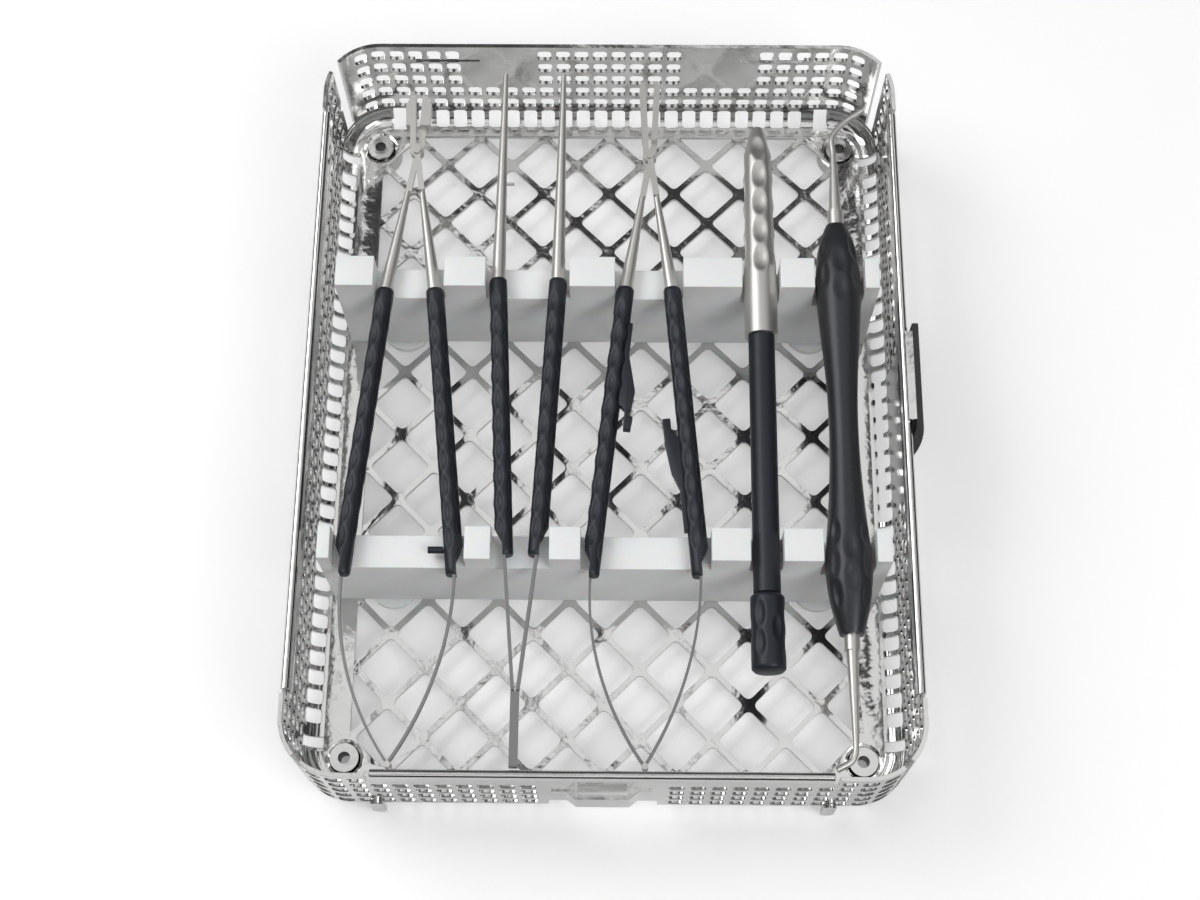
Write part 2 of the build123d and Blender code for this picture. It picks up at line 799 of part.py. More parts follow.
def turned(axis_x, *stations):
    """Turned piece on an axis along Y, from (Y, radius) stations, straight between them."""
    start_y = stations[0][0]
    end_y = stations[-1][0]
    with BuildPart() as piece:
        with BuildSketch(Plane(origin=(axis_x, 0, axis_z), x_dir=(0, 1, 0), z_dir=(1, 0, 0))):
            with BuildLine():
                Polyline((start_y, 0), *stations, (end_y, 0), close=True)
            make_face()
        revolve(axis=Axis((axis_x, 0, axis_z), (0, 1, 0)))
    return piece


# Blade handle: steel head, black rod and turning knob on a spigot
blade_head = turned(
    blade_handle_x,
    (blade_head_end, blade_tip_radius),
    (blade_head_shoulder, blade_head_radius),
    (blade_collar_start, blade_head_radius),
    (blade_collar_start, blade_collar_radius),
    (blade_rod_start, blade_collar_radius),
)
save(blade_head, "blade_head")

blade_rod = turned(
    blade_handle_x,
    (blade_rod_start, blade_rod_radius),
    (blade_knob_start + seat_gap, blade_rod_radius),
    (blade_knob_start + seat_gap, knob_spigot_radius),
    (blade_knob_start - knob_spigot_length, knob_spigot_radius),
)
save(blade_rod, "blade_rod")

blade_knob = turned(
    blade_handle_x,
    (blade_knob_start, blade_knob_radius - knob_edge),
    (blade_knob_start - knob_edge, blade_knob_radius),
    (blade_knob_end + knob_edge, blade_knob_radius),
    (blade_knob_end, blade_knob_radius - knob_edge),
)
with BuildPart() as bored_knob:
    add(blade_knob.part)
    bore_length = knob_spigot_length + seat_gap
    with Locations(Location((blade_handle_x, blade_knob_start - bore_length / 2, axis_z), (90, 0, 0))):
        Cylinder(knob_spigot_radius + fit_gap, bore_length, mode=Mode.SUBTRACT)
save(bored_knob, "blade_knob")

# Double-ended hook: one swelling grip and a bent working end at either side
with BuildPart() as hook_grip:
    with BuildSketch(Plane(origin=(hook_x, 0, axis_z), x_dir=(0, 1, 0), z_dir=(1, 0, 0))):
        with BuildLine():
            profile = Spline(*hook_outline)
            Line(profile @ 1, (hook_outline[-1][0], 0))
            Line((hook_outline[-1][0], 0), (hook_outline[0][0], 0))
            Line((hook_outline[0][0], 0), profile @ 0)
        make_face()
    revolve(axis=Axis((hook_x, 0, axis_z), (0, 1, 0)))
save(hook_grip, "hook_grip")

for end_name, start_y, collar_y, bend_y, collar_radius, route in (
    ("rear", hook_grip_rear, hook_collar_rear, hook_shank_rear, rear_collar_radius, rear_hook_route),
    ("front", hook_grip_front, hook_collar_front, hook_shank_front, front_collar_radius, front_hook_route),
):
    with BuildPart() as tip:
        rod((hook_x, start_y, axis_z), (hook_x, collar_y, axis_z), collar_radius, collar_radius)
        rod((hook_x, collar_y, axis_z), (hook_x, bend_y, axis_z), 0.8 * collar_radius, hook_wire_radius)
        with BuildLine():
            wire = Spline(
                (hook_x, bend_y, axis_z),
                *[(x, y, axis_z) for x, y in route],
                tangents=[(0, bend_y - collar_y, 0), (route[-1][0] - route[-2][0], route[-1][1] - route[-2][1], 0)],
            )
        with BuildSketch(Plane(origin=wire @ 0, z_dir=wire % 0)):
            Circle(hook_wire_radius)
        sweep(path=wire)
    save(tip, f"hook_{end_name}_tip")
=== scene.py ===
"""Instrument tray: the looks of a pressed mesh basket with two racks, a rim latch and five instruments."""

from collections import namedtuple
from math import atan2, ceil, copysign, cos, exp, hypot, pi, radians, sin, sqrt

import bpy
from bpy.props import FloatProperty, FloatVectorProperty, PointerProperty
from mathutils import Matrix, Vector


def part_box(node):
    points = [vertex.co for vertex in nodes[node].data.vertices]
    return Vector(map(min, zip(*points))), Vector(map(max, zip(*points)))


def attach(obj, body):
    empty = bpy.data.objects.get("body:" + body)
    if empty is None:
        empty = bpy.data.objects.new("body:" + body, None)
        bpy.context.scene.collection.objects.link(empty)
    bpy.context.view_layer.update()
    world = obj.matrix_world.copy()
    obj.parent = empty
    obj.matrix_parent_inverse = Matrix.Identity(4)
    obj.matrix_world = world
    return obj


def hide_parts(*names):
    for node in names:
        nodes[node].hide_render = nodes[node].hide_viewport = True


bl_info = {
    "name": "Instrument Tray",
    "version": (1, 0, 0),
    "blender": (4, 5, 0),
    "location": "View3D > Sidebar > Tray",
    "description": "Finishes a mesh instrument tray, its racks, latch and instruments",
    "category": "Object",
}

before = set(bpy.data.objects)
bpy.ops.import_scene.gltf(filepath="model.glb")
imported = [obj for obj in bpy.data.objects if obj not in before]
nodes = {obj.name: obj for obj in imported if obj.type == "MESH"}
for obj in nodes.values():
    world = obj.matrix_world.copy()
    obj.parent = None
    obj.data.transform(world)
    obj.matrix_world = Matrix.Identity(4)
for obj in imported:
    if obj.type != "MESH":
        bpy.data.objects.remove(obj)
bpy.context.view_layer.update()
MM = 0.001

# Places and sizes that the frame gives
floor_low, floor_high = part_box("floor_grid")
foot_level = floor_low.z
deck = floor_high.z
sheet = deck - foot_level
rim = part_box("rim_hems")[1].z
hem_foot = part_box("rim_hems")[0].z
wall_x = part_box("right_wall")[1].x
wall_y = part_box("rear_wall")[1].y
wall_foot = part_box("right_wall")[0].z
bend_radius = wall_foot - foot_level
axis_z = (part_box("blade_rod")[0].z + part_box("blade_rod")[1].z) / 2

# Pressed sheet: corner radius outside, and the middle of the sheet in its bends and corners
corner_radius = 13 * MM
straight_x = wall_x - corner_radius
straight_y = wall_y - corner_radius
bend_middle = bend_radius - sheet / 2
bend_arc = bend_middle * pi / 2
corner_middle = corner_radius - sheet / 2
bend_steps = 7
bend_hole_height = 5.3 * MM
bend_end = 2.6 * MM
full_rows = 5
hem_overlap = 1.5 * MM
least_gap = 0.2 * MM
widest_strip = 2 * MM

# Openings of the walls: lid slots at the rear, keeper's window in front, latch slot on the right
through = 3 * MM
lid_slot_place = 40 * MM
lid_slot_half = 8 * MM
lid_slot_low, lid_slot_high = 30.4 * MM, 31.6 * MM
window_half = 12 * MM
window_depth = 5 * MM
window_top = 13.3 * MM
latch_slot_front, latch_slot_rear = -21 * MM, 15 * MM
latch_slot_low, latch_slot_high = 4 * MM, 6.2 * MM
latch_slot_depth = 3.6 * MM

# Folded hems: half their length on each wall, the fold and its thickness
hem_halves = {"front": 49 * MM, "left": 71 * MM, "right": 71 * MM}
hem_setback = 1 * MM
fold_radius = 0.55 * MM
fold_steps = 10
hem_columns = 24
hem_thickness = 0.9 * MM
hem_edge = 0.12 * MM

# Floor: plain margins beside the lattice, bosses round the rivets, dishes in the corners
side_margin = 5 * MM
end_margin = 1.5 * MM
cell_corner = 1.3 * MM
rivet_head = 3.3 * MM
boss_radius = 4.4 * MM
around_boss = 32
# Section of a boss as (radius, height over the deck) in millimetres
boss_section = [
    (4.5, 0), (4.1, -0.12), (3.5, -0.42), (3.1, -0.5), (2.1, -0.5),
    (2.1, -0.9), (3.2, -0.9), (3.9, -0.75), (4.4, -0.45), (4.5, -0.3),
]
dish_sweep = radians(80)

# Grips of the six arms: a round bar with flat sides, cut to a tab at its tail
grip_radius = 2.2 * MM
grip_flat = 2 * MM
grip_plain_end = 3 * MM
grip_end_drop, grip_end_run = 0.35 * MM, 0.4 * MM
tab_length, tab_run, tab_cut = 6.6 * MM, 3.2 * MM, 1.9 * MM
dimple_rows = 5
dimple_pitch = 6.2 * MM
dimple_width, dimple_length = 2.1 * MM, 5.2 * MM
# Share of a node's length at each end that shows where that end lies
end_share = 0.15
catch_thickness = 2.2 * MM
catch_edge = 0.2 * MM

# Meshing: points that count as one, and steps round and along turned pieces
touching = 0.01 * MM
lathe_touching = 0.004 * MM
rack_touching = 0.002 * MM
rack_edge = 0.5 * MM
grip_steps = (42, 150)
around_turned = 64
turned_step = 0.55 * MM
# Stations of a turned node nearer to the axis than this share of its radius belong to its bore
outer_share = 0.42


class TraySizes(bpy.types.PropertyGroup):
    """Sizes of the perforated sheet and of the instruments' surface detail."""

    end_pitch: FloatProperty(
        name="End wall pitch", description="Column pitch of the end walls", default=4.55 * MM, unit="LENGTH"
    )
    side_pitch: FloatProperty(
        name="Side wall pitch", description="Column pitch of the side walls", default=4.5 * MM, unit="LENGTH"
    )
    row_pitch: FloatProperty(
        name="Row pitch", description="Height of one row of holes", default=5.4 * MM, unit="LENGTH"
    )
    hole_width: FloatProperty(
        name="Hole width", description="Width of a wall hole", default=3.4 * MM, unit="LENGTH"
    )
    hole_height: FloatProperty(
        name="Hole height", description="Height of a wall hole", default=3.8 * MM, unit="LENGTH"
    )
    hole_corner: FloatProperty(
        name="Hole corner", description="Corner radius of a wall hole", default=0.8 * MM, unit="LENGTH"
    )
    lattice_pitch: FloatProperty(
        name="Lattice pitch", description="Half the diagonal of a floor cell", default=8.3 * MM, unit="LENGTH"
    )
    bar_width: FloatProperty(
        name="Bar width", description="Width of a floor bar", default=1.4 * MM, unit="LENGTH"
    )
    sheet_edge: FloatProperty(
        name="Sheet edge", description="Rounding of the punched edges", default=0.24 * MM, unit="LENGTH"
    )
    dimple_depth: FloatProperty(
        name="Dimple depth", description="Depth of the finger dimples", default=0.5 * MM, unit="LENGTH"
    )


class TrayColours(bpy.types.PropertyGroup):
    """Colours of the finishes."""

    steel: FloatVectorProperty(
        name="Basket steel", description="Polished basket", subtype="COLOR", default=(0.66, 0.66, 0.65)
    )
    plastic: FloatVectorProperty(
        name="Rack plastic", description="White racks", subtype="COLOR", default=(0.93, 0.95, 0.95)
    )
    grip: FloatVectorProperty(
        name="Grip", description="Black grips", subtype="COLOR", default=(0.012, 0.012, 0.014)
    )
    hook: FloatVectorProperty(
        name="Hook grip", description="Dark grey grip", subtype="COLOR", default=(0.035, 0.037, 0.042)
    )
    instrument: FloatVectorProperty(
        name="Instrument steel", description="Arms and tips", subtype="COLOR", default=(0.36, 0.35, 0.34)
    )
    spring: FloatVectorProperty(
        name="Spring steel", description="Leaf springs", subtype="COLOR", default=(0.22, 0.22, 0.22)
    )


def sizes():
    """The size settings of this scene."""
    return bpy.context.scene.tray_sizes


def colours():
    """The colour settings of this scene."""
    return bpy.context.scene.tray_colours


# Modelling helpers
def only(piece):
    """Select one object and make it active."""
    bpy.ops.object.select_all(action="DESELECT")
    piece.select_set(True)
    bpy.context.view_layer.objects.active = piece


def edit(piece, operation, edges=False, **values):
    """Run an edit-mode operator on the whole mesh, selected by its faces or by its edges."""
    only(piece)
    bpy.context.tool_settings.mesh_select_mode = (False, edges, not edges)
    bpy.ops.object.mode_set(mode="EDIT")
    bpy.ops.mesh.select_all(action="SELECT")
    operation(**values)
    bpy.ops.object.mode_set(mode="OBJECT")


def modify(piece, kind, **values):
    """Add one modifier and apply it."""
    only(piece)
    modifier = piece.modifiers.new(kind.lower(), kind)
    for name, value in values.items():
        setattr(modifier, name, value)
    bpy.ops.object.modifier_apply(modifier=modifier.name)


def selected(parts):
    """Select several objects, the first of them active."""
    bpy.ops.object.select_all(action="DESELECT")
    for part in parts:
        part.select_set(True)
    bpy.context.view_layer.objects.active = parts[0]


def joined(name, parts):
    """Join several objects into one and weld what touches."""
    selected(parts)
    if len(parts) > 1:
        bpy.ops.object.join()
    piece = bpy.context.object
    piece.name = name
    piece.data.name = name
    weld(piece)
    return piece


def weld(piece):
    """Merge doubles and turn all faces outwards."""
    edit(piece, bpy.ops.mesh.remove_doubles, threshold=touching)
    edit(piece, bpy.ops.mesh.normals_make_consistent, inside=False)


def smooth(piece, angle=35):
    """Smooth shading below an angle between faces."""
    only(piece)
    bpy.ops.object.shade_smooth_by_angle(angle=radians(angle))


def round_edges(piece, width, segments=2, angle=40):
    """Round the sharp edges of a piece."""
    modify(
        piece,
        "BEVEL",
        width=width,
        segments=segments,
        limit_method="ANGLE",
        angle_limit=radians(angle),
        use_clamp_overlap=True,
    )
    smooth(piece)


def cut(piece, cutters):
    """Cut away closed cutter objects, all at once."""
    tool = joined("cutter", cutters)
    modify(piece, "BOOLEAN", operation="DIFFERENCE", solver="EXACT", object=tool)
    bpy.data.objects.remove(tool)


def block(low, high):
    """Closed block between two corners, used as a cutter."""
    centre = (Vector(low) + Vector(high)) / 2
    bpy.ops.mesh.primitive_cube_add(size=1, location=centre)
    piece = bpy.context.object
    piece.scale = Vector(high) - Vector(low)
    bpy.ops.object.transform_apply(location=True, rotation=False, scale=True)
    return piece


def finish_piece(piece, body, slot_name, material, *replaced):
    """Give a piece its material, its body and the nodes that it stands for."""
    piece.data.materials.clear()
    piece.data.materials.append(material)
    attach(piece, body)
    if replaced:
        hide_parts(*replaced)


# Materials
def new_material(name, colour, metallic, roughness, grain, relief, drift, **sockets):
    """Procedural finish: base colour with slight drift, broken roughness and a fine relief.

    The grain is in specks per metre, the relief a depth, and the drift a share of the colour.
    """
    material = bpy.data.materials.new(name)
    material.use_nodes = True
    tree = material.node_tree
    shader = tree.nodes["Principled BSDF"]
    place = tree.nodes.new("ShaderNodeTexCoord")
    cloud = tree.nodes.new("ShaderNodeTexNoise")
    cloud.inputs["Scale"].default_value = grain
    cloud.inputs["Detail"].default_value = 4
    tree.links.new(place.outputs["Object"], cloud.inputs["Vector"])
    tint = tree.nodes.new("ShaderNodeMix")
    tint.data_type = "RGBA"
    tint.inputs["A"].default_value = (*[channel * (1 - drift) for channel in colour], 1)
    tint.inputs["B"].default_value = (*[min(1, channel * (1 + drift)) for channel in colour], 1)
    tree.links.new(cloud.outputs["Fac"], tint.inputs["Factor"])
    tree.links.new(tint.outputs["Result"], shader.inputs["Base Color"])
    dull = tree.nodes.new("ShaderNodeMapRange")
    dull.inputs["To Min"].default_value = roughness * 0.8
    dull.inputs["To Max"].default_value = roughness * 1.25
    tree.links.new(cloud.outputs["Fac"], dull.inputs["Value"])
    tree.links.new(dull.outputs["Result"], shader.inputs["Roughness"])
    bump = tree.nodes.new("ShaderNodeBump")
    bump.inputs["Strength"].default_value = 1
    bump.inputs["Distance"].default_value = relief
    tree.links.new(cloud.outputs["Fac"], bump.inputs["Height"])
    tree.links.new(bump.outputs["Normal"], shader.inputs["Normal"])
    shader.inputs["Metallic"].default_value = metallic
    for socket, value in sockets.items():
        shader.inputs[socket.replace("_", " ")].default_value = value
    return material


def finish(name):
    """Material of one finish, made the first time that it is asked for."""
    if name in bpy.data.materials:
        return bpy.data.materials[name]
    shades = colours()
    # Colour, metallic, roughness, grain, relief and drift of each finish
    recipes = {
        "basket_steel": (shades.steel, 1, 0.12, 90, 0.2 * MM, 0.1),
        "bar_steel": (shades.steel, 1, 0.1, 75, 0.4 * MM, 0.1),
        "moulded_white": (shades.plastic, 0, 0.36, 300, 0.01 * MM, 0.02),
        "grip_black": (shades.grip, 0, 0.2, 900, 0.004 * MM, 0.3),
        "hook_grey": (shades.hook, 0.3, 0.36, 900, 0.004 * MM, 0.15),
        "instrument_steel": (shades.instrument, 1, 0.3, 400, 0.012 * MM, 0.1),
        "spring_steel": (shades.spring, 1, 0.3, 500, 0.004 * MM, 0.15),
        "latch_black": (shades.grip, 0, 0.34, 500, 0.02 * MM, 0.3),
    }
    extra = {
        "grip_black": {"Specular_IOR_Level": 0.36},
        "latch_black": {"Specular_IOR_Level": 0.36},
        "moulded_white": {"Subsurface_Weight": 0.3, "Subsurface_Scale": 2 * MM},
    }
    return new_material(name, *recipes[name], **extra.get(name, {}))


# Perforated sheet: one cell is modelled and repeated, flat, then folded into place
def ring(half_width, half_height, corner):
    """Loop of sixteen vertices on a rectangle, plain or with rounded corners."""
    bpy.ops.mesh.primitive_circle_add(vertices=16, radius=1)
    loop = bpy.context.object
    shoulder = corner * (1 - sqrt(0.5))
    quarter = [
        (half_width, 0),
        (half_width, half_height - corner if corner else half_height / 2),
        (half_width - shoulder, half_height - shoulder),
        (half_width - corner if corner else half_width / 2, half_height),
        (0, half_height),
    ]
    for vertex in loop.data.vertices:
        step = round(atan2(vertex.co.y, vertex.co.x) / (pi / 8)) % 8
        x, y = quarter[min(step, 8 - step)]
        vertex.co = (copysign(x, vertex.co.x), copysign(y, vertex.co.y), 0)
    return loop


def cells(left, foot, columns, rows, pitch, row_pitch, hole=None):
    """Field of sheet cells from a lower left corner, each with a rounded hole or plain."""
    if hole:
        width, height, corner = hole
        loops = [ring(width / 2, height / 2, corner), ring(pitch / 2, row_pitch / 2, 0)]
        selected(loops)
        bpy.ops.object.join()
        cell = bpy.context.object
        edit(cell, bpy.ops.mesh.bridge_edge_loops, edges=True)
    else:
        bpy.ops.mesh.primitive_grid_add(x_subdivisions=4, y_subdivisions=4, size=1)
        cell = bpy.context.object
        for vertex in cell.data.vertices:
            vertex.co = (vertex.co.x * pitch, vertex.co.y * row_pitch, 0)
    for vertex in cell.data.vertices:
        vertex.co += Vector((left + pitch / 2, foot + row_pitch / 2, 0))
    for count, offset in ((columns, (pitch, 0, 0)), (rows, (0, row_pitch, 0))):
        if count > 1:
            modify(
                cell,
                "ARRAY",
                count=count,
                use_relative_offset=False,
                use_constant_offset=True,
                constant_offset_displace=offset,
                use_merge_vertices=True,
                merge_threshold=touching,
            )
    return cell


# Directions along and out of a wall, its columns and rows of holes, its plain zones as (first column,
# columns, first row, rows), and the (columns, degrees) of its two ends that wrap round the corners
Wall = namedtuple("Wall", "along out columns rows plain wraps")
X = Vector((1, 0, 0))
Y = Vector((0, 1, 0))
WALLS = {
    "rear": Wall(X, Y, 22, 5, ((3, 4, 2, 3), (15, 4, 2, 3)), ((3, 52), (3, 52))),
    "front": Wall(X, -Y, 22, 4, ((8, 6, 0, 4),), ((3, 38), (3, 38))),
    "left": Wall(Y, -X, 32, 4, (), ((3, 42), (2, 24))),
    "right": Wall(Y, X, 32, 4, ((11, 8, 0, 4),), ((3, 42), (2, 24))),
}


def reach_of(name):
    """Half the straight run of a wall, and how far out it stands."""
    return (straight_x, wall_y) if name in ("rear", "front") else (straight_y, wall_x)


def fold_point(wall, straight, reach, u, v):
    """Place of a flat point on the basket: u runs along the wall and round its corners, v up the sheet."""
    turn = min(v, bend_arc) / bend_middle
    offset = bend_middle * (sin(turn) - 1)
    height = foot_level + sheet / 2 + bend_middle * (1 - cos(turn)) + max(0, v - bend_arc)
    run = u
    depth = reach - sheet / 2 + offset
    past = max(0, abs(u) - straight)
    if past:
        heading = past / corner_middle
        run = copysign(straight + (corner_middle + offset) * sin(heading), u)
        depth = reach - sheet / 2 - corner_middle + (corner_middle + offset) * cos(heading)
    return wall.along * run + wall.out * depth + Vector((0, 0, height))


def fold(piece, name):
    """Fold a flat field of sheet onto a wall and give it its thickness."""
    straight, reach = reach_of(name)
    for level in range(1, bend_steps):
        edit(piece, bpy.ops.mesh.bisect, plane_co=(0, bend_arc * level / bend_steps, 0), plane_no=(0, 1, 0))
    for vertex in piece.data.vertices:
        vertex.co = fold_point(WALLS[name], straight, reach, vertex.co.x, vertex.co.y)
    edit(piece, bpy.ops.mesh.normals_make_consistent, inside=False)
    modify(piece, "SOLIDIFY", thickness=sheet, offset=0)


def hole_row(wall, level, left, foot, pitch, row_pitch, hole):
    """One row of holes, with plain cells where a plain zone crosses it."""
    zones = sorted((start, count) for start, count, low, rows in wall.plain if low <= level < low + rows)
    parts = []
    column = 0
    for start, count in [*zones, (wall.columns, 0)]:
        if start > column:
            parts.append(cells(left + column * pitch, foot, start - column, 1, pitch, row_pitch, hole))
        if count:
            parts.append(cells(left + start * pitch, foot, count, 1, pitch, row_pitch))
        column = start + count
    return parts


def wall_sheet(name):
    """One pressed wall with its bend, its rows of holes and the ends that wrap round the corners."""
    size = sizes()
    wall = WALLS[name]
    straight = reach_of(name)[0]
    pitch = size.end_pitch if name in ("rear", "front") else size.side_pitch
    row = size.row_pitch
    hole = (size.hole_width, size.hole_height, size.hole_corner)
    bend_hole = (size.hole_width, bend_hole_height, size.hole_corner)
    half = wall.columns * pitch / 2
    top = bend_arc + rim - wall_foot
    row_top = bend_arc + full_rows * row
    parts = [cells(-half, 0, wall.columns, 1, pitch, bend_arc, bend_hole)]
    parts += [cells(edge, 0, 1, 1, bend_end, bend_arc) for edge in (-half - bend_end, half)]
    for level in range(wall.rows):
        parts += hole_row(wall, level, -half, bend_arc + level * row, pitch, row, hole)

    body_top = bend_arc + wall.rows * row
    hem_cover = bend_arc + hem_foot + hem_overlap - wall_foot
    band_top = top if wall.rows == full_rows else hem_cover
    parts.append(cells(-half, body_top, wall.columns, 1, pitch, band_top - body_top))
    for side, (extra, angle) in zip((-1, 1), wall.wraps):
        length = straight + corner_middle * radians(angle)
        first = half if side > 0 else -half - extra * pitch
        parts.append(cells(first, bend_arc, extra, full_rows, pitch, row, hole))
        parts.append(cells(first, row_top, extra, 1, pitch, top - row_top))
        gap = length - half - extra * pitch
        if gap > least_gap:
            edge = half + extra * pitch if side > 0 else -length
            count = ceil(gap / widest_strip)
            step = gap / count
            for level in range(full_rows):
                parts.append(cells(edge, bend_arc + level * row, count, 1, step, row))
            parts.append(cells(edge, row_top, count, 1, step, top - row_top))
    piece = joined(f"{name}_wall_sheet", parts)
    fold(piece, name)
    return piece


# Stage
floor_size = 8
floor_gap = 0.2 * MM
floor_glow = 0.22
# Brightness of the room by height, from straight down at 0 to straight up at 1
room_levels = ((0.0, 0.8), (0.5, 0.5), (0.53, 0.05), (0.80, 0.07), (0.88, 0.95), (1.0, 1.0))
blot_scale = 5
blot_range = (0.43, 0.48)
blot_shade = (0.03, 0.03, 0.03, 1)
# Place, power and size of each lamp
lamps = {
    "overhead": ((-0.72, 0.3, 0.8), 5.2, 0.7),
    "front_fill": ((0.5, -0.5, 0.8), 3.2, 0.5),
}
# Camera fitted to the photograph: its place and the directions of its right, up and back
camera_place = (0.00399601, -0.16563591, 0.42567030)
camera_right = (0.99990372, 0.01034887, -0.00924442)
camera_up = (-0.00633796, 0.93323833, 0.35920197)
camera_back = (0.01234459, -0.35910879, 0.93321406)
lens_length = 55.877
sensor_width = 36


def build_ground():
    """Pale floor that the camera sees white, with the tray's shadow on it."""
    bpy.ops.mesh.primitive_plane_add(size=floor_size, location=(0, 0, -floor_gap))
    ground = bpy.context.object
    ground.name = "ground"
    pale = new_material(
        "pale_floor", (0.93, 0.93, 0.93), 0, 0.7, 20, 0.0, 0.01, Emission_Color=(1, 1, 1, 1)
    )
    ground.data.materials.append(pale)
    tree = pale.node_tree
    path = tree.nodes.new("ShaderNodeLightPath")
    glow = tree.nodes.new("ShaderNodeMath")
    glow.operation = "MULTIPLY"
    glow.inputs[1].default_value = floor_glow
    tree.links.new(path.outputs["Is Camera Ray"], glow.inputs[0])
    tree.links.new(glow.outputs["Value"], tree.nodes["Principled BSDF"].inputs["Emission Strength"])


def build_room():
    """Soft studio with dark parts for the steel to mirror, white where the camera looks at it."""
    world = bpy.data.worlds.new("soft_studio")
    bpy.context.scene.world = world
    world.use_nodes = True
    tree = world.node_tree
    tree.nodes.clear()
    direction = tree.nodes.new("ShaderNodeTexCoord")
    split = tree.nodes.new("ShaderNodeSeparateXYZ")
    tree.links.new(direction.outputs["Generated"], split.inputs["Vector"])
    share = tree.nodes.new("ShaderNodeMath")
    share.operation = "MULTIPLY_ADD"
    share.inputs[1].default_value = 0.5
    share.inputs[2].default_value = 0.5
    tree.links.new(split.outputs["Z"], share.inputs[0])
    height = tree.nodes.new("ShaderNodeValToRGB")
    stops = height.color_ramp.elements
    for place, level in room_levels:
        stops.new(place).color = (level, level, level, 1)
    stops.remove(stops[0])
    tree.links.new(share.outputs["Value"], height.inputs["Fac"])

    blots = tree.nodes.new("ShaderNodeTexNoise")
    blots.inputs["Scale"].default_value = blot_scale
    tree.links.new(direction.outputs["Generated"], blots.inputs["Vector"])
    spots = tree.nodes.new("ShaderNodeValToRGB")
    for stop, place in zip(spots.color_ramp.elements, blot_range):
        stop.position = place
    spots.color_ramp.elements[0].color = blot_shade
    tree.links.new(blots.outputs["Fac"], spots.inputs["Fac"])
    shade = tree.nodes.new("ShaderNodeMix")
    shade.data_type = "RGBA"
    shade.blend_type = "MULTIPLY"
    shade.inputs["Factor"].default_value = 1
    tree.links.new(height.outputs["Color"], shade.inputs["A"])
    tree.links.new(spots.outputs["Color"], shade.inputs["B"])

    room = tree.nodes.new("ShaderNodeBackground")
    tree.links.new(shade.outputs["Result"], room.inputs["Color"])
    seen = tree.nodes.new("ShaderNodeBackground")
    seen.inputs["Color"].default_value = (1, 1, 1, 1)
    path = tree.nodes.new("ShaderNodeLightPath")
    mix = tree.nodes.new("ShaderNodeMixShader")
    tree.links.new(path.outputs["Is Camera Ray"], mix.inputs["Fac"])
    tree.links.new(room.outputs["Background"], mix.inputs[1])
    tree.links.new(seen.outputs["Background"], mix.inputs[2])
    output = tree.nodes.new("ShaderNodeOutputWorld")
    tree.links.new(mix.outputs["Shader"], output.inputs["Surface"])


def build_stage():
    """Pale floor, plain soft light and the camera of the photograph."""
    scene = bpy.context.scene
    scene.view_settings.view_transform = "Standard"
    build_ground()
    build_room()
    for name, (place, power, size) in lamps.items():
        lamp = bpy.data.lights.new(name, "AREA")
        lamp.energy = power
        lamp.size = size
        holder = bpy.data.objects.new(name, lamp)
        holder.location = place
        holder.rotation_euler = (-Vector(place)).to_track_quat("-Z", "Y").to_euler()
        scene.collection.objects.link(holder)

    lens = bpy.data.cameras.new("photo_camera")
    lens.lens = lens_length
    lens.sensor_width = sensor_width
    camera = bpy.data.objects.new("photo_camera", lens)
    turn = Matrix((camera_right, camera_up, camera_back)).transposed().to_4x4()
    camera.matrix_world = Matrix.Translation(camera_place) @ turn
    scene.collection.objects.link(camera)
    scene.camera = camera


def floor_plate():
    """Flat sheet inside the bends, with round corners."""
    bpy.ops.mesh.primitive_plane_add(size=1)
    plate = bpy.context.object
    for vertex in plate.data.vertices:
        x = vertex.co.x * 2 * (wall_x - bend_radius)
        vertex.co = (x, vertex.co.y * 2 * (wall_y - bend_radius), deck)
    edit(plate, bpy.ops.mesh.bevel, affect="VERTICES", offset=corner_radius - bend_radius, segments=10)
    edit(plate, bpy.ops.mesh.extrude_region_move, TRANSFORM_OT_translate={"value": (0, 0, -sheet)})
    edit(plate, bpy.ops.mesh.normals_make_consistent, inside=False)
    return plate


def lattice_field():
    """Closed cutters of the diagonal lattice, cut off straight at the margins."""
    pitch = sizes().lattice_pitch
    side = pitch * sqrt(2) - sizes().bar_width
    columns = int((wall_x - bend_radius - side_margin) / pitch)
    rows = int((wall_y - bend_radius - end_margin) / pitch)
    bpy.ops.mesh.primitive_plane_add(size=side, location=(0, 0, 0))
    cell = bpy.context.object
    edit(cell, bpy.ops.mesh.bevel, affect="VERTICES", offset=cell_corner, segments=3)
    edit(cell, bpy.ops.mesh.extrude_region_move, TRANSFORM_OT_translate={"value": (0, 0, 3 * sheet)})
    turn = Matrix.Rotation(pi / 4, 4, "Z")
    cell.data.transform(Matrix.Translation((0, 0, foot_level - sheet)) @ turn)
    holes = []
    for column in range(-columns, columns + 1):
        for row in range(-rows, rows + 1):
            at_corner = abs(column) == columns and abs(row) == rows
            if (column + row + columns + rows) % 2 == 0 and not at_corner:
                hole = cell.copy()
                hole.data = cell.data.copy()
                bpy.context.scene.collection.objects.link(hole)
                hole.data.transform(Matrix.Translation((column * pitch, row * pitch, 0)))
                holes.append(hole)
    bpy.data.objects.remove(cell)
    field = joined("field", holes)
    for axis, limit in ((X, columns * pitch), (Y, rows * pitch)):
        for normal in (-axis, axis):
            edit(
                field,
                bpy.ops.mesh.bisect,
                plane_co=normal * limit,
                plane_no=normal,
                clear_outer=True,
                use_fill=True,
            )
    edit(field, bpy.ops.mesh.normals_make_consistent, inside=False)
    return field


